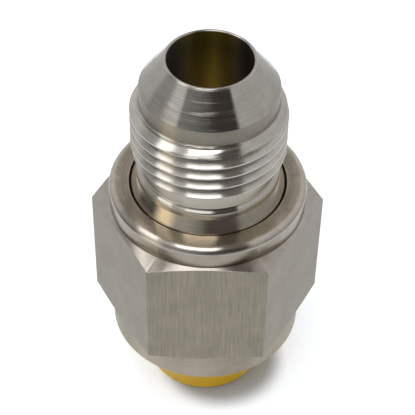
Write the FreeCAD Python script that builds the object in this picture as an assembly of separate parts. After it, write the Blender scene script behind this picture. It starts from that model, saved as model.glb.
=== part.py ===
import FreeCAD, Part

import math
import os

# Every size is in millimetres. The fitting stands upright on its plug: the origin is the middle of
# the plug's lower face, +Z runs up the fitting's axis, and two of the nut's flats face -Y and +Y.

# The flared end of the stem: its passage, nose and thread
passage_diameter = 10.26
flare_angle = 37.0
flare_lip_width = 0.32
flare_land_diameter = 16.76
flare_land_length = 2.1
flare_thread_diameter = 19.05
flare_thread_length = 8.38
flare_thread_end_angle = 47.0

# The neck between that thread and the nut
relief_diameter = 16.76
relief_length = 1.9
collar_root_length = 0.42
collar_land_length = 0.85
collar_diameter = 17.72
collar_height = 1.73

# The swivel end of the stem, held inside the nut
shoulder_angle = 24.0
flange_thickness = 3.7
nose_length = 3.2
nose_lip_width = 0.6

# The swivel nut, turned from hexagonal bar
nut_thread_diameter = 22.225
nut_thread_pitch = 25.4 / 14
nut_flat_wall = 1.5875
nut_skirt_wall = 1.3075
nut_skirt_length = 4.415
nut_skirt_chamfer = 0.3
nut_hexagon_length = 17.025
nut_base_chamfer_angle = 75.0
nut_top_chamfer_angle = 77.0
nut_socket_margin = 0.1375
nut_ring_wall = 1.2
nut_ring_length = 3.0
nut_ring_rounding = 0.9
nut_mouth_margin = 0.25
nut_mouth_angle = 45.0

# The push-in plug that closes the nut's mouth
plug_knob_diameter = 15.6
plug_knob_length = 8.33
plug_wall = 1.3
plug_floor = 1.5
plug_barrel_inset = 1.2
plug_lead_length = 1.2
plug_lead_width = 0.6
plug_rib_count = 2
plug_rib_height = 0.9
plug_rib_angle = 45.0

# Clearances between the three pieces
swivel_clearance = 0.10
nose_clearance = 0.23
crimp_clearance = 0.15
nut_float = 0.35
plug_clearance = 0.10
plug_end_gap = 2.19

# A tapped hole's crests stand inside its major radius by this share of the pitch
TAPPED_DEPTH = 5 / 8 * math.cos(math.radians(30))


def run(rise, angle):
    """The width that a line gains over a rise, when it stands at an angle from the fitting's axis."""
    return rise * math.tan(math.radians(angle))


def rise(run, angle):
    """The height that a line gains over a run, when it stands at an angle from the fitting's axis."""
    return run / math.tan(math.radians(angle))


# The nut's radii, each a wall or a margin away from its thread, and those that another piece fits
nut_thread_radius = nut_thread_diameter / 2
nut_flat_radius = nut_thread_radius + nut_flat_wall
socket_radius = nut_thread_radius + nut_socket_margin
flange_radius = socket_radius - swivel_clearance
tapped_radius = nut_thread_radius - TAPPED_DEPTH * nut_thread_pitch
nose_radius = tapped_radius - nose_clearance
rib_radius = tapped_radius - plug_clearance

# Heights, from the plug's lower face up
nut_base = plug_knob_length
hexagon_base = nut_base + nut_skirt_length
hexagon_top = hexagon_base + nut_hexagon_length
nut_top = hexagon_top + nut_ring_length
collar_base = nut_top + collar_height
flange_top = collar_base - rise(flange_radius - collar_diameter / 2, shoulder_angle)
flange_base = flange_top - flange_thickness
nose_end = flange_base - nose_length
socket_floor = flange_base - nut_float
collar_rim = collar_base + collar_land_length
relief_base = collar_rim + collar_root_length
thread_base = relief_base + relief_length
thread_top = thread_base + flare_thread_length
land_top = thread_top + flare_land_length


def rounded_corner(before, corner, after, rounding):
    """The start, middle and end of the arc that rounds a corner."""
    back = (before - corner).normalize()
    on = (after - corner).normalize()
    half = back.getAngle(on) / 2
    reach = rounding / math.tan(half)
    depth = rounding / math.sin(half) - rounding
    return corner + back * reach, corner + (back + on).normalize() * depth, corner + on * reach


def turned(corners):
    """A solid turned about the axis from (radius, height) or (radius, height, rounding) corners."""
    points = [FreeCAD.Vector(corner[0], 0, corner[1]) for corner in corners]
    turns = []
    for n, corner in enumerate(corners):
        before, after = points[n - 1], points[(n + 1) % len(points)]
        plain = (points[n], None, points[n])
        turns.append(plain if len(corner) == 2 else rounded_corner(before, points[n], after, corner[2]))
    edges = []
    for n, (start, middle, end) in enumerate(turns):
        if middle:
            edges.append(Part.Arc(start, middle, end).toShape())
        edges.append(Part.LineSegment(end, turns[(n + 1) % len(turns)][0]).toShape())
    return Part.Face(Part.Wire(edges)).revolve(FreeCAD.Vector(), FreeCAD.Vector(0, 0, 1), 360)


def hexagonal_bar(flat_radius, base, top):
    """A bar along the axis, with corners on the X axis and flats facing -Y and +Y."""
    corner = flat_radius / math.cos(math.radians(30))
    turns = [math.radians(60 * n) for n in range(7)]
    outline = Part.makePolygon([FreeCAD.Vector(corner * math.cos(a), corner * math.sin(a), base) for a in turns])
    return Part.Face(outline).extrude(FreeCAD.Vector(0, 0, top - base))


def flare_stem():
    """The tube that the nut turns on: a 37 degree nose above, and a 37 degree seat inside the nut."""
    passage = passage_diameter / 2
    lip = passage + flare_lip_width
    land = flare_land_diameter / 2
    thread = flare_thread_diameter / 2
    relief = relief_diameter / 2
    seat = nose_radius - nose_lip_width
    tip = land_top + rise(land - lip, flare_angle)
    return turned([
        (passage, nose_end + rise(seat - passage, flare_angle)),
        (seat, nose_end),
        (nose_radius, nose_end),
        (nose_radius, flange_base),
        (flange_radius, flange_base),
        (flange_radius, flange_top),
        (collar_diameter / 2, collar_base),
        (collar_diameter / 2, collar_rim),
        (relief, relief_base),
        (relief, thread_base),
        (thread, thread_base + rise(thread - relief, flare_thread_end_angle)),
        (thread, thread_top - rise(thread - land, flare_thread_end_angle)),
        (land, thread_top),
        (land, land_top),
        (lip, tip),
        (passage, tip),
    ])


def swivel_nut():
    """The captive nut: hexagonal bar, turned at both ends and crimped over the stem's shoulder."""
    past_corners = 2 * nut_flat_radius
    skirt = nut_thread_radius + nut_skirt_wall
    ring = socket_radius + nut_ring_wall
    mouth = nut_thread_radius + nut_mouth_margin
    collar = collar_diameter / 2 + crimp_clearance / math.cos(math.radians(shoulder_angle))
    turned_nut = turned([
        (skirt - nut_skirt_chamfer, nut_base),
        (skirt, nut_base + nut_skirt_chamfer),
        (skirt, hexagon_base),
        (past_corners, hexagon_base + rise(past_corners - skirt, nut_base_chamfer_angle)),
        (past_corners, hexagon_top - rise(past_corners - ring, nut_top_chamfer_angle)),
        (ring, hexagon_top),
        (ring, nut_top, nut_ring_rounding),
        (collar + run(collar_base - nut_top, shoulder_angle), nut_top),
        (socket_radius, collar_base - rise(socket_radius - collar, shoulder_angle)),
        (socket_radius, socket_floor),
        (tapped_radius, socket_floor),
        (tapped_radius, nut_base + rise(mouth - tapped_radius, nut_mouth_angle)),
        (mouth, nut_base),
    ])
    return turned_nut.common(hexagonal_bar(nut_flat_radius, nut_base, nut_top)).Solids[0]


def dust_plug():
    """The moulded plug: a hollow knob below the nut, and a ribbed barrel pushed up inside its thread."""
    knob = plug_knob_diameter / 2
    barrel = rib_radius - plug_rib_height
    barrel_base = nut_base + plug_barrel_inset
    barrel_top = nose_end - plug_end_gap
    shoulder = barrel_base + barrel - knob
    slope = rise(plug_rib_height, plug_rib_angle)
    spacing = (barrel_top - plug_lead_length - shoulder) / plug_rib_count
    outside = [(knob, 0), (knob, barrel_base), (barrel, shoulder)]
    for n in range(plug_rib_count):
        crest = shoulder + (n + 1) * spacing - slope
        outside += [(barrel, crest - slope), (rib_radius, crest), (barrel, crest + slope)]
    inside = [
        (barrel - plug_lead_width, barrel_top),
        (knob - plug_wall, barrel_top),
        (knob - plug_wall, plug_floor),
        (0, plug_floor),
        (0, 0),
    ]
    return turned(outside + inside)


os.makedirs("parts", exist_ok=True)
flare_stem().exportStep("parts/flare_stem.step")
swivel_nut().exportStep("parts/swivel_nut.step")
dust_plug().exportStep("parts/dust_plug.step")
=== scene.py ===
import math

import bmesh
import bpy
import numpy as np
from mathutils import Matrix, Vector


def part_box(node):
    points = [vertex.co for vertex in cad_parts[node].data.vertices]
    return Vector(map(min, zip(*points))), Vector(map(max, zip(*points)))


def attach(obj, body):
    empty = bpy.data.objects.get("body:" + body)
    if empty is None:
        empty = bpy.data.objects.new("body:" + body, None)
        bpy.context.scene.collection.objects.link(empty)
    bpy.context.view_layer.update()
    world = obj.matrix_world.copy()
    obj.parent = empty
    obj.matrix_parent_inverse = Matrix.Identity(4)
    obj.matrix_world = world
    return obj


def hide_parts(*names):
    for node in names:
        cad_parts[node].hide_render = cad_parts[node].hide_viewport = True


# Sizes are in millimetres and angles in degrees. Heights run from the plug's lower face up, and
# round parts are given by their radius. MM turns a size into metres.
MM = 0.001


def run(rise, angle):
    """The width that a line gains over a rise, when it stands at an angle from the fitting's axis."""
    return rise * math.tan(math.radians(angle))


def rise(run, angle):
    """The height that a line gains over a run, when it stands at an angle from the fitting's axis."""
    return run / math.tan(math.radians(angle))


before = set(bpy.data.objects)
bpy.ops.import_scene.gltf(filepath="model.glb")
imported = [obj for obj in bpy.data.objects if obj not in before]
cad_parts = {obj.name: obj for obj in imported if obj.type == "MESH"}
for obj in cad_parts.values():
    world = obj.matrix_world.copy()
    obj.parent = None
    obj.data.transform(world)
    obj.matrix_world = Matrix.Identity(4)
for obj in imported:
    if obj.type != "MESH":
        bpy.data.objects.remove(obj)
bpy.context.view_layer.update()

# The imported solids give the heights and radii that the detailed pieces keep
stem_low, stem_high = (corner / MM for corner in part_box("flare_stem"))
nut_low, nut_high = (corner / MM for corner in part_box("swivel_nut"))
plug_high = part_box("dust_plug")[1] / MM

# Columns round the axis, rows for each rounded corner, and the least angle of a crisp edge
columns = 240
rounding_rows = 4
crease_angle = 28.0

# Points that stand closer than this are joined, and edges shorter than this are dropped
joined_gap = 0.0015
least_edge = 0.0005

# A 60 degree thread's section, in pitches from the middle of a crest: half its flat crest, where
# its rows close up for the root, the root's rounding, and how far a flank falls over one pitch
crest_half = 1 / 16
root_start = 0.375
root_rounding = 0.1443
flank_slope = math.sqrt(3)

# The flared end of the stem. flare_crest_height is where one of its crests passes the +X side.
tip = stem_high.z
flare_angle = 37.0
passage = 5.13
passage_rounding = 0.14
lip = 5.45
lip_rounding = 0.13
land = 8.38
land_length = 2.1
land_top = tip - rise(land - lip, flare_angle)
thread_top = land_top - land_length
thread_length = 8.38
thread_base = thread_top - thread_length
flare_thread = 9.525
flare_thread_end_angle = 47.0
flare_pitch = 25.4 / 16
flare_crest_height = thread_top - 1.0 + flare_pitch / 4

# The neck and collar between that thread and the nut
nut_top = nut_high.z
relief = 8.38
relief_length = 1.9
relief_base = thread_base - relief_length
relief_fillet = 0.4
collar = 8.86
collar_chamfer_length = 0.37
collar_rounding = 0.25
collar_rim = relief_base - collar_chamfer_length
collar_height = 1.73
collar_base = nut_top + collar_height
shoulder_angle = 24.0

# The swivel end of the stem, inside the nut
flange = stem_high.x
flange_top = collar_base - rise(flange - collar, shoulder_angle)
flange_thickness = 3.7
flange_base = flange_top - flange_thickness
nose = 9.9
nose_end = stem_low.z
nose_rounding = 0.3
nose_lip_width = 0.6
seat = nose - nose_lip_width

# The swivel nut
nut_base = nut_low.z
flat = nut_high.y
corner_rounding = 0.2
skirt = 12.42
skirt_length = 4.415
skirt_chamfer = 0.3
hexagon_base = nut_base + skirt_length
base_chamfer_angle = 75.0
ring = 12.45
ring_root = 12.33
ring_length = 2.97
ring_rounding = 0.88
hexagon_top = nut_top - ring_length
top_chamfer_angle = 77.0
crimp_gap = 0.15
swivel_clearance = 0.1
socket = flange + swivel_clearance
nut_float = 0.35
socket_floor = flange_base - nut_float

# The nut's inside thread, whose round crests leave it 17/24 of its full triangle deep
nut_thread = 11.1125
nut_pitch = 25.4 / 14
nut_crest = nut_thread - 17 / 24 * math.sqrt(3) / 2 * nut_pitch
nut_runout_length = 1.5
nut_runout_start = socket_floor - nut_runout_length
mouth_margin = 0.25
nut_mouth = nut_thread + mouth_margin

# The push-in plug
knob = 7.8
knob_rounding = 0.5
barrel_inset = 1.2
knob_top = nut_base + barrel_inset
barrel = 9.13
barrel_top = plug_high.z
barrel_lead_length = 1.2
barrel_lead_width = 0.6
rib = plug_high.x
rib_count = 2
rib_height = rib - barrel
plug_wall = 1.3
plug_floor = 1.5

# The steel's roughness from each height up
stem_finish = ((0, 0.13), (thread_base, 0.22), (thread_top, 0.3), (land_top, 0.1), (tip - 0.2, 0.3))
nut_finish = ((0, 0.42), (hexagon_base, 0.3), (hexagon_top, 0.2), (nut_top - 0.04, 0.21))
passage_roughness = 0.3

# Bands of the steel whose colour is multiplied: low, high, colour. The warm ones tint the steel, and the
# grey ones are painted shade
straw = (1.0, 0.95, 0.86, 1)
stem_tints_and_shade = (
    (collar_base - 20, collar_rim + 0.1, straw),
    # Painted shade: the relief wall a little darker and the land below the nose much darker
    (relief_base, thread_base, (0.85, 0.81, 0.74, 1)),
    (thread_top - 0.1, land_top, (0.6, 0.56, 0.5, 1)),
)
nut_tints_and_shade = (
    (nut_base - 1, hexagon_base, (1.0, 0.96, 0.88, 1)),
    # Painted shade: the ring's side darker
    (hexagon_top, nut_top - 0.8, (0.76, 0.72, 0.64, 1)),
    (nut_top - 0.05, nut_top + 1, straw),
)

# Rougher rings that the tool left on the flared nose: height, half width, roughness added
nose_marks = (
    (tip - 2.14, 0.22, 0.14),
    (tip - 2.84, 0.12, 0.1),
    (tip - 1.14, 0.1, 0.08),
    (tip - 3.64, 0.1, 0.08),
)

# The painted reflection of the plug's yellow glow on the passage's wall, with painted shade at its sides,
# from -X to +X: the first colour, and then where each next colour starts, where it is reached, and the
# colour itself
painted_passage_left = (0.5, 0.44, 0.42, 1)
painted_passage_glow = (
    (-4.6, -1.7, (0.92, 0.75, 0.21, 1)),
    (-1.5, -0.4, (0.64, 0.51, 0.11, 1)),
    (0.3, 1.5, (0.52, 0.39, 0.085, 1)),
    (2.0, 4.4, (0.34, 0.28, 0.26, 1)),
)

# The table top, and a painted glow on it that keeps it white round the fitting and gives the fitting's
# shadow a painted edge
table_radius = 110
table_sides = 96
painted_glow = 0.56
painted_glow_centre = (2.3, -2.3, 0)
painted_glow_start = 6.4
painted_glow_full = 9.6

# The photograph's view: where the camera stands and looks before it is turned round the fitting
# and rolled, and the direction from the fitting toward it
camera_place = (0, -124.57, 154.54)
camera_aim = (0.013, 0, 27.61)
camera_turn = -0.64
camera_roll = 1.11
camera_lens = 121.2
toward_camera = (0, -0.72, 0.69)


def arc(before, corner, after, rounding):
    """Rows along the arc that rounds a corner of a section, for every column at once."""
    back = before - corner
    on = after - corner
    back = back / np.linalg.norm(back, axis=0)
    on = on / np.linalg.norm(on, axis=0)
    half = np.arccos(np.clip((back * on).sum(0), -1, 1)) / 2
    reach = rounding / np.tan(half)
    start = corner + back * reach
    end = corner + on * reach
    rows = []
    for t in np.linspace(0, 1, rounding_rows + 1):
        middle = 2 * t * (1 - t) * np.sin(half)
        whole = (1 - t) ** 2 + middle + t ** 2
        rows.append(((1 - t) ** 2 * start + middle * corner + t ** 2 * end) / whole)
    return rows


def section(corners, angles):
    """Rows of (radius, height) for each column, from (radius, height, rounding) corners."""
    unrounded = []
    for radius, height, rounding in corners:
        row = np.empty((2, len(angles)))
        row[0] = radius
        row[1] = height
        unrounded.append((row, rounding))
    rows = []
    for n, (row, rounding) in enumerate(unrounded):
        if rounding and 0 < n < len(unrounded) - 1:
            rows += arc(unrounded[n - 1][0], row, unrounded[n + 1][0], rounding)
        else:
            rows.append(row)
    return rows


def thread_steps():
    """The shares of a pitch at which a thread has rows: close at the crests and round the roots."""
    crest = np.linspace(-crest_half, crest_half, 3)
    flank = np.linspace(crest_half, root_start, 11)[1:]
    root = np.linspace(root_start, 1 - root_start, 11)[1:]
    return np.concatenate([crest, flank, root, 1 - flank[::-1][1:]])


def thread_depth(share):
    """How far a 60 degree thread with round roots lies below its crest, in pitches."""
    away = np.abs(share - np.round(share))
    sharp = (0.5 - crest_half) * flank_slope
    inside = np.minimum(0.5 - away, root_rounding)
    bottom = sharp - 2 * root_rounding + np.sqrt(root_rounding ** 2 - inside ** 2)
    depth = np.clip((away - crest_half) * flank_slope, 0, None)
    return np.where(0.5 - away < root_rounding * math.cos(math.radians(30)), bottom, depth)


def thread_rows(angles, low, high, pitch, crest_height, surface):
    """Rows that climb right-handed round the axis from low to high. surface gives their radius."""
    first = math.floor((low - crest_height) / pitch) - 2
    last = math.ceil((high - crest_height) / pitch) + 1
    rows = []
    for turn in range(first, last):
        for step in thread_steps():
            height = crest_height + pitch * (turn + step + angles / (2 * math.pi))
            height = np.clip(height, low, high)
            share = (height - crest_height) / pitch - angles / (2 * math.pi)
            rows.append(np.stack([surface(height, thread_depth(share) * pitch), height]))
    return rows


def weld(mesh):
    """Joins the columns' seam and the rows that a thread's ends press together."""
    made = bmesh.new()
    made.from_mesh(mesh)
    bmesh.ops.remove_doubles(made, verts=made.verts, dist=joined_gap * MM)
    bmesh.ops.dissolve_degenerate(made, edges=made.edges, dist=least_edge * MM)
    bmesh.ops.recalc_face_normals(made, faces=made.faces)
    made.to_mesh(mesh)
    made.free()


def turned_mesh(name, rows, angles, materials, patches=(), closed=True):
    """A piece made of rows of (radius, height) columns round the axis, with sharp edges kept crisp.

    patches are (first row, last row, material slot). The other rows have the first material.
    """
    points = np.array(rows)
    radius = points[:, 0, :]
    x = radius * np.cos(angles) * MM
    y = radius * np.sin(angles) * MM
    z = points[:, 1, :] * MM
    count, width = radius.shape
    places = np.stack([x, y, z], axis=-1).reshape(-1, 3)
    faces = []
    slots = []
    for n in range(count if closed else count - 1):
        here = n * width
        above = (n + 1) % count * width
        for c in range(width - 1):
            faces.append((here + c, here + c + 1, above + c + 1, above + c))
            slots.append(next((m for start, end, m in patches if start <= n < end), 0))
    mesh = bpy.data.meshes.new(name)
    mesh.from_pydata(places.tolist(), [], faces)
    mesh.polygons.foreach_set("material_index", slots)
    weld(mesh)
    for material in materials:
        mesh.materials.append(material)
    piece = bpy.data.objects.new(name, mesh)
    bpy.context.scene.collection.objects.link(piece)
    mesh.shade_smooth()
    mesh.set_sharp_from_angle(angle=math.radians(crease_angle))
    normals = piece.modifiers.new("normals", "WEIGHTED_NORMAL")
    normals.keep_sharp = True
    normals.weight = 100
    return piece


def round_angles():
    """Even columns round the axis, with both ends of the turn."""
    return np.linspace(0, 2 * math.pi, columns + 1)


def nut_angles():
    """Even columns, with four more of them across each of the nut's rounded corners."""
    spread = corner_rounding * math.tan(math.radians(30)) / flat * 0.75
    angles = set(round_angles())
    for n in range(7):
        for share in (-1, -0.5, 0.5, 1):
            angle = math.radians(60 * n) + share * spread
            if 0 < angle < 2 * math.pi:
                angles.add(angle)
    return np.array(sorted(angles))


def hexagon_radius(angles):
    """The distance from the axis to the nut's flats and rounded corners, in each direction."""
    sixth = math.radians(60)
    half = math.radians(30)
    off = np.abs(angles - sixth * np.round(angles / sixth))
    straight = flat / np.cos(half - off)
    centre = (flat - corner_rounding) / math.cos(half)
    inside = np.clip(corner_rounding ** 2 - (centre * np.sin(off)) ** 2, 0, None)
    rounded = centre * np.cos(off) + np.sqrt(inside)
    near = flat * (math.tan(half) - np.tan(half - off)) < corner_rounding * math.tan(half)
    return np.where(near, rounded, straight)


def grey(level):
    return (level, level, level, 1.0)


class Shader:
    """Short calls that fill one node tree."""

    def __init__(self, tree):
        self.tree = tree
        tree.nodes.clear()

    def feed(self, socket, value):
        """Links a socket to another node's output, or sets it to a plain value."""
        if isinstance(value, bpy.types.NodeSocket):
            self.tree.links.new(value, socket)
        else:
            socket.default_value = value

    def node(self, kind, inputs=None, **settings):
        """A new node. Its settings come first, because some of them change its sockets."""
        made = self.tree.nodes.new(kind)
        for name, value in settings.items():
            setattr(made, name, value)
        for name, value in (inputs or {}).items():
            self.feed(made.inputs[name], value)
        return made

    def math(self, operation, *values):
        inputs = dict(enumerate(values))
        return self.node("ShaderNodeMath", inputs, operation=operation).outputs[0]

    def vector(self, operation, *values):
        inputs = dict(enumerate(values))
        return self.node("ShaderNodeVectorMath", inputs, operation=operation).outputs["Vector"]

    def length(self, vector):
        return self.node("ShaderNodeVectorMath", {0: vector}, operation="LENGTH").outputs["Value"]

    def along(self, vector, axis):
        return self.node("ShaderNodeSeparateXYZ", {0: vector}).outputs[axis]

    def remap(self, value, low, high, to_low=0.0, to_high=1.0):
        """A smooth step from to_low to to_high while value goes from low to high."""
        inputs = {0: value, 1: low, 2: high, 3: to_low, 4: to_high}
        return self.node("ShaderNodeMapRange", inputs, interpolation_type="SMOOTHSTEP").outputs[0]

    def window(self, value, low, high, soft):
        """1 where value lies between low and high, and 0 outside, with soft edges."""
        rising = self.remap(value, low - soft, low + soft)
        falling = self.remap(value, high - soft, high + soft, 1.0, 0.0)
        return self.math("MULTIPLY", rising, falling)

    def noise(self, vector, scale, detail, roughness=0.5):
        inputs = {"Vector": vector, "Scale": scale, "Detail": detail, "Roughness": roughness}
        return self.node("ShaderNodeTexNoise", inputs).outputs["Fac"]

    def mix(self, factor, first, second, blend="MIX"):
        made = self.node("ShaderNodeMix", {0: factor, 6: first, 7: second}, data_type="RGBA")
        made.blend_type = blend
        return made.outputs[2]

    def mix_value(self, factor, first, second):
        return self.node("ShaderNodeMix", {0: factor, 2: first, 3: second}).outputs[0]

    def tinted(self, level, tint=(1.0, 1.0, 1.0)):
        """A colour as bright as level, with a tint."""
        shares = {n: self.math("MULTIPLY", level, tint[n]) for n in range(3)}
        return self.node("ShaderNodeCombineColor", shares).outputs[0]

    def bump(self, height, depth):
        """The slope of a surface whose height varies by up to a depth."""
        inputs = {"Height": height, "Distance": depth * MM, "Strength": 1.0}
        return self.node("ShaderNodeBump", inputs).outputs[0]

    def round_axis(self):
        """The direction round the fitting's axis, in which the gloss is drawn out."""
        return self.node("ShaderNodeTangent", direction_type="RADIAL", axis="Z").outputs[0]

    def surface(self, inputs):
        """Ends the tree in a surface with these inputs."""
        made = self.node("ShaderNodeBsdfPrincipled", inputs)
        self.node("ShaderNodeOutputMaterial", {"Surface": made.outputs[0]})


def new_material(name):
    material = bpy.data.materials.new(name)
    material.use_nodes = True
    return material, Shader(material.node_tree)


def place_in_mm(shader):
    """The point on the fitting, in millimetres."""
    place = shader.node("ShaderNodeTexCoord").outputs["Object"]
    return shader.vector("MULTIPLY", place, (1 / MM, 1 / MM, 1 / MM))


def painted_passage_reflection(shader, place, height):
    """The steel inside the passage, painted with a reflection of the plug's yellow glow and with shade at
    its sides, the glow brighter the deeper it lies.
    """
    sideways = shader.along(place, "X")
    colour = painted_passage_left
    for start, reached, tint in painted_passage_glow:
        colour = shader.mix(shader.remap(sideways, start, reached), colour, tint)
    # Painted glow: dim near the nose and bright deep down, toward the plug
    painted_glow_depth = shader.remap(height, tip - 9, tip - 1, 1.05, 0.36)
    return shader.mix(1.0, colour, shader.tinted(painted_glow_depth), "MULTIPLY")


def marked(shader, rough, place, radius, height, drift, marks):
    """A roughness with a tool's rougher rings added, which waver and come and go round the axis."""
    wavering = shader.math("ADD", height, shader.math("MULTIPLY", drift, 0.6))
    drawn_out = shader.vector("MULTIPLY", place, (0.3, 0.3, 4.0))
    patchy = shader.remap(shader.noise(drawn_out, scale=1.0, detail=3.0), 0.35, 0.6)
    outside = shader.remap(radius, passage + 0.1, passage + 0.2)
    for mark_height, half_width, roughness in marks:
        mark = shader.window(wavering, mark_height - half_width, mark_height + half_width, 0.05)
        mark = shader.math("MULTIPLY", shader.math("MULTIPLY", mark, patchy), outside)
        rough = shader.math("ADD", rough, shader.math("MULTIPLY", mark, roughness))
    return rough


def turned_steel(name, dark, light, finish, tints_and_shade, marks=()):
    """Stainless steel with a lathe's fine grooves round the axis, bands of tint and of painted shade, and a
    smoother passage with a painted reflection of the plug's glow.
    """
    material, shader = new_material(name)
    place = place_in_mm(shader)
    radius = shader.length(shader.vector("MULTIPLY", place, (1, 1, 0)))
    height = shader.along(place, "Z")
    outside = shader.remap(radius, passage + 0.01, passage + 0.03)

    drift = shader.math("MULTIPLY", shader.noise(place, scale=0.35, detail=3.0), 0.25)
    ringed = shader.node("ShaderNodeCombineXYZ", {0: radius, 1: height, 2: drift}).outputs[0]
    fine = shader.noise(ringed, scale=9.0, detail=3.0, roughness=0.6)
    broad = shader.noise(ringed, scale=1.7, detail=2.0)
    stain = shader.noise(place, scale=0.5, detail=4.0, roughness=0.6)

    tone = shader.math("ADD", shader.math("MULTIPLY", fine, 0.55), shader.math("MULTIPLY", stain, 0.45))
    colour = shader.mix(shader.remap(tone, 0.35, 0.65), dark, light)
    # Warm tints, and bands of painted shade
    for low, high, tint in tints_and_shade:
        colour = shader.mix(shader.window(height, low, high, 0.03), colour, tint, "MULTIPLY")
    # Inside the passage the painted reflection of the plug's glow takes the place of the steel's colour
    colour = shader.mix(outside, painted_passage_reflection(shader, place, height), colour)

    rough = finish[0][1]
    for start, roughness in finish[1:]:
        rough = shader.remap(height, start - 0.03, start + 0.03, rough, roughness)
    rough = shader.mix_value(outside, passage_roughness, rough)
    rough = marked(shader, rough, place, radius, height, drift, marks)
    uneven = shader.math("MULTIPLY", outside, shader.remap(fine, 0.3, 0.7, -0.03, 0.03))

    grooves = shader.math("ADD", fine, shader.math("MULTIPLY", broad, 2.0))
    grooves = shader.math("MULTIPLY", grooves, outside)
    shader.surface({
        "Base Color": colour,
        "Metallic": 1.0,
        "Roughness": shader.math("ADD", rough, uneven),
        "Anisotropic": 0.95,
        "Anisotropic Rotation": 0.25,
        "Tangent": shader.round_axis(),
        "Normal": shader.bump(grooves, 0.0004),
    })
    return material


def drawn_steel(name, dark, light):
    """Stainless steel bar with the fine lines of its drawing along the axis."""
    material, shader = new_material(name)
    place = place_in_mm(shader)
    streaked = shader.vector("MULTIPLY", place, (1.0, 1.0, 0.035))
    fine = shader.noise(streaked, scale=5.5, detail=4.0, roughness=0.65)
    stain = shader.noise(place, scale=0.25, detail=4.0, roughness=0.6)
    tone = shader.math("ADD", shader.math("MULTIPLY", fine, 0.7), shader.math("MULTIPLY", stain, 0.3))
    shader.surface({
        "Base Color": shader.mix(shader.remap(tone, 0.35, 0.65), dark, light),
        "Metallic": 1.0,
        "Roughness": shader.remap(fine, 0.3, 0.7, 0.36, 0.48),
        "Anisotropic": 0.5,
        "Tangent": shader.round_axis(),
        "Normal": shader.bump(fine, 0.008),
    })
    return material


def yellow_plastic():
    """Translucent moulded plastic, a little uneven in depth and gloss."""
    material, shader = new_material("yellow_plastic")
    place = place_in_mm(shader)
    cloud = shader.noise(place, scale=0.4, detail=3.0)
    grain = shader.noise(place, scale=9.0, detail=3.0, roughness=0.6)
    shader.surface({
        "Base Color": shader.mix(cloud, (0.8, 0.5, 0.012, 1), (0.88, 0.58, 0.02, 1)),
        "Roughness": shader.remap(grain, 0.3, 0.7, 0.34, 0.46),
        "Subsurface Weight": 1.0,
        "Subsurface Radius": (1.0, 0.6, 0.08),
        "Subsurface Scale": 1.5 * MM,
        "Normal": shader.bump(grain, 0.004),
    })
    return material


def flare_stem(materials):
    """The tube, with its flared nose, its outside thread and the collar that the nut turns on."""
    angles = round_angles()

    def thread_surface(height, depth):
        below = relief + run(height - thread_base, flare_thread_end_angle)
        above = land + run(thread_top - height, flare_thread_end_angle)
        return np.minimum(flare_thread - depth, np.minimum(below, above))

    lower = [
        (passage, nose_end + rise(seat - passage, flare_angle), 0),
        (seat, nose_end, 0.05),
        (nose, nose_end, nose_rounding),
        (nose, flange_base, 0.1),
        (flange, flange_base, 0.15),
        (flange, flange_top, 0.2),
        (collar, collar_base, 0.04),
        (collar, collar_rim, collar_rounding),
        (relief, relief_base, relief_fillet),
        (relief, thread_base, 0),
    ]
    upper = [
        (land, thread_top, 0),
        (land, land_top, 0.03),
        (lip, tip, lip_rounding),
        (passage, tip, passage_rounding),
        (passage, tip - 2, 0),
    ]
    rows = section(lower, angles)
    rows += thread_rows(angles, thread_base, thread_top, flare_pitch, flare_crest_height, thread_surface)
    rows += section(upper, angles)
    piece = turned_mesh("threaded_stem", rows, angles, materials)
    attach(piece, "stem")
    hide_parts("flare_stem")
    return piece


def swivel_nut(materials):
    """The nut, with its flats, its turned ends, the lip crimped over the stem and its inside thread."""
    angles = nut_angles()
    hexagon = hexagon_radius(angles)

    def thread_surface(height, depth):
        cut = np.maximum(nut_thread - depth, nut_crest)
        runout = nut_crest + np.clip(nut_runout_start - height, 0, None)
        mouth = nut_mouth - (height - nut_base)
        return np.maximum(np.minimum(cut, runout), mouth)

    lip_edge = collar + crimp_gap / math.cos(math.radians(shoulder_angle))
    outside = [
        (nut_mouth, nut_base, 0),
        (skirt - skirt_chamfer, nut_base, 0.05),
        (skirt, nut_base + skirt_chamfer, 0.2),
        (skirt, hexagon_base, 0.05),
        (hexagon, hexagon_base + rise(hexagon - skirt, base_chamfer_angle), 0.06),
        (hexagon, hexagon_top - rise(hexagon - ring_root, top_chamfer_angle), 0.06),
        (ring_root, hexagon_top, 0.06),
        (ring, nut_top, ring_rounding),
        (lip_edge + run(collar_base - nut_top, shoulder_angle), nut_top, 0.08),
        (socket, collar_base - rise(socket - lip_edge, shoulder_angle), 0.1),
        (socket, socket_floor, 0),
    ]
    rows = section(outside, angles)
    # The flats' faces start at the last row of the fourth rounded corner
    flats_row = 1 + 3 * (rounding_rows + 1) + rounding_rows
    patches = [(flats_row, flats_row + 1, 1)]
    inside = thread_rows(angles, nut_base, socket_floor, nut_pitch, nut_base, thread_surface)
    rows += inside[::-1]
    piece = turned_mesh("hexagon_nut", rows, angles, materials, patches)
    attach(piece, "nut")
    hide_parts("swivel_nut")
    return piece


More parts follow.
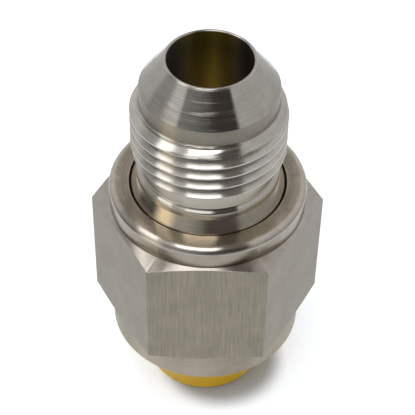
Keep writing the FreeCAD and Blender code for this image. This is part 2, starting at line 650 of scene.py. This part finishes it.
def dust_plug(materials):
    """The hollow plug: a knob to pull it by, and a barrel whose ribs grip the nut's thread."""
    angles = round_angles()
    shoulder = knob_top + barrel - knob
    spacing = (barrel_top - barrel_lead_length - shoulder) / rib_count
    corners = [
        (0, 0, 0),
        (knob, 0, knob_rounding),
        (knob, knob_top, 0.2),
        (barrel, shoulder, 0.2),
    ]
    for n in range(rib_count):
        crest = shoulder + (n + 1) * spacing - rib_height
        corners += [
            (barrel, crest - rib_height, 0.15),
            (rib, crest, 0.12),
            (barrel, crest + rib_height, 0.15),
        ]
    corners += [
        (barrel - barrel_lead_width, barrel_top, 0.15),
        (knob - plug_wall, barrel_top, 0.15),
        (knob - plug_wall, plug_floor, knob_rounding),
        (0, plug_floor, 0),
    ]
    piece = turned_mesh("push_in_plug", section(corners, angles), angles, materials, closed=False)
    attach(piece, "plug")
    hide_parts("dust_plug")
    return piece


def studio_world():
    """A white tent, dark where it opens toward the camera, with a lamp on its left and one in front.

    Each direction is known by the slope that mirrors it to the camera: side is that slope's azimuth
    from the front, and arch its elevation, both in degrees.
    """
    world = bpy.data.worlds.new("studio")
    bpy.context.scene.world = world
    world.use_nodes = True
    shader = Shader(world.node_tree)
    direction = shader.node("ShaderNodeTexCoord").outputs["Generated"]
    slope = shader.vector("NORMALIZE", shader.vector("ADD", direction, toward_camera))
    forward = shader.math("MULTIPLY", shader.along(slope, "Y"), -1.0)
    side = shader.math("DEGREES", shader.math("ARCTAN2", shader.along(slope, "X"), forward))
    arch = shader.math("DEGREES", shader.math("ARCSINE", shader.along(slope, "Z")))

    def by_arch(*steps):
        """A value that runs through (arch, value) steps."""
        value = steps[0][1]
        for (before, _), (at, reached) in zip(steps, steps[1:]):
            value = shader.remap(arch, before, at, value, reached)
        return value

    softness = by_arch((22, 5.0), (36, 2.4), (48, 1.4))

    def past(edge):
        """1 to the right of an edge, and 0 to its left."""
        return shader.remap(shader.math("DIVIDE", shader.math("SUBTRACT", side, edge), softness), -1.0, 1.0)

    def between(left_edge, right_edge):
        return shader.math("MULTIPLY", past(left_edge), shader.math("SUBTRACT", 1.0, past(right_edge)))

    walls = by_arch((18, 0.5), (34, 0.85), (48, 1.05), (60, 1.3), (84, 1.2))
    far_left = by_arch((20, 0.12), (30, 0.25), (38, 0.66), (60, 0.8), (84, 0.35))
    colour = shader.mix(shader.window(side, -64, -44, 4), shader.tinted(walls), shader.tinted(far_left))

    middle = by_arch((26, 0.75), (32, 0.4), (41, 0.45), (48, 1.15), (62, 1.3), (70, 0.5))
    colour = shader.mix(between(-28, 25), colour, shader.tinted(middle))

    # Below the lamp, the front of the tent darkens toward its right
    front_lamp = by_arch((26, 0.6), (32, 0.25), (41, 0.3), (48, 1.7), (53, 6.0), (66, 6.0), (71, 0.4))
    fading = shader.mix_value(shader.remap(arch, 42, 47), shader.remap(side, -18, 1, 1.3, 0.6), 1.0)
    front_lamp = shader.math("MULTIPLY", front_lamp, fading)
    colour = shader.mix(between(-18.5, 20), colour, shader.tinted(front_lamp))

    # The opening's left edge leans over toward the right, and its right edge is upright
    opening = by_arch((20, 0.2), (30, 0.1), (44, 0.1), (58, 0.45), (70, 0.2), (84, 0.15))
    opening_edge = by_arch((30, -2.0), (46, 3.0), (58, 7.5))
    colour = shader.mix(between(opening_edge, 24.8), colour, shader.tinted(opening, (1.0, 0.88, 0.82)))

    left_lamp = by_arch((26, 2.4), (33, 1.1), (40, 1.1), (50, 2.8), (60, 4.0), (70, 4.0), (84, 3.4))
    left_strip = between(by_arch((38, -41.0), (48, -44.5)), by_arch((38, -28.0), (48, -30.5)))
    warmth = shader.mix(shader.remap(arch, 26, 33), (1.0, 0.85, 0.62, 1), grey(1.0))
    warm_lamp = shader.mix(1.0, shader.tinted(left_lamp), warmth, "MULTIPLY")
    colour = shader.mix(left_strip, colour, warm_lamp)

    colour = shader.mix(shader.remap(arch, 84, 88), colour, grey(0.12))
    seen = shader.node("ShaderNodeLightPath").outputs["Is Camera Ray"]
    background = shader.node("ShaderNodeBackground", {
        "Color": shader.mix(seen, colour, grey(1.0)),
        "Strength": shader.math("MULTIPLY_ADD", seen, 0.25, 0.75),
    })
    shader.node("ShaderNodeOutputWorld", {"Surface": background.outputs[0]})


def pale_floor():
    """A round white table top that keeps the fitting's soft shadow, and a painted glow round it that gives
    that shadow a painted edge.

    The light that it gives back to the fitting is that of plain grey paper, without the glow.
    """
    turns = np.linspace(0, 2 * math.pi, table_sides + 1)[:-1]
    across = table_radius * MM
    rim = [(across * math.cos(turn), across * math.sin(turn), 0) for turn in turns]
    mesh = bpy.data.meshes.new("floor")
    mesh.from_pydata(rim, [], [tuple(range(len(rim)))])
    floor = bpy.data.objects.new("floor", mesh)
    bpy.context.scene.collection.objects.link(floor)
    material, shader = new_material("white_floor")
    away = shader.length(shader.vector("SUBTRACT", place_in_mm(shader), painted_glow_centre))
    path = shader.node("ShaderNodeLightPath").outputs
    seen = shader.math("MAXIMUM", path["Is Camera Ray"], path["Is Glossy Ray"])
    seen = shader.math("MAXIMUM", seen, path["Is Transmission Ray"])
    # Painted glow: off near the fitting and full a little way out, round a centre off the axis, which
    # paints the shadow's edge. What the camera, the steel and the plug see is also a darker blue-grey,
    # which deepens the shadow under it.
    painted_glow_ramp = shader.remap(away, painted_glow_start, painted_glow_full, 0.0, painted_glow)
    shader.surface({
        "Base Color": shader.mix(seen, grey(0.8), (0.57, 0.61, 0.67, 1)),
        "Roughness": 1.0,
        "Specular IOR Level": 0.0,
        "Emission Color": grey(1.0),
        "Emission Strength": shader.math("MULTIPLY", seen, painted_glow_ramp),
    })
    mesh.materials.append(material)


def photo_camera():
    """The photograph's view: close above the fitting, a little turned from a flat of the nut."""
    turn = Matrix.Rotation(math.radians(camera_turn), 3, "Z")
    roll = math.radians(camera_roll)
    place = turn @ Vector(camera_place)
    aim = turn @ Vector(camera_aim)
    forward = (aim - place).normalized()
    right = forward.cross(Vector((0, 0, 1))).normalized()
    up = right.cross(forward)
    across = math.cos(roll) * right + math.sin(roll) * up
    upward = math.cos(roll) * up - math.sin(roll) * right
    data = bpy.data.cameras.new("photo_camera")
    data.lens = camera_lens
    data.sensor_width = 36.0
    data.clip_start = 10 * MM
    data.clip_end = 10000 * MM
    camera = bpy.data.objects.new("photo_camera", data)
    bpy.context.scene.collection.objects.link(camera)
    matrix = Matrix((across, upward, -forward)).transposed().to_4x4()
    matrix.translation = place * MM
    camera.matrix_world = matrix
    bpy.context.scene.camera = camera


stem_steel = turned_steel(
    "stem_steel", (0.39, 0.37, 0.335, 1), (0.48, 0.46, 0.42, 1), stem_finish, stem_tints_and_shade, nose_marks
)
nut_steel = turned_steel("nut_steel", (0.36, 0.33, 0.29, 1), (0.45, 0.415, 0.37, 1), nut_finish, nut_tints_and_shade)
bar_steel = drawn_steel("drawn_steel", (0.198, 0.174, 0.134, 1), (0.285, 0.253, 0.198, 1))
plug_plastic = yellow_plastic()

flare_stem([stem_steel])
swivel_nut([nut_steel, bar_steel])
dust_plug([plug_plastic])
pale_floor()
studio_world()
photo_camera()
bpy.context.scene.view_settings.view_transform = "Standard"
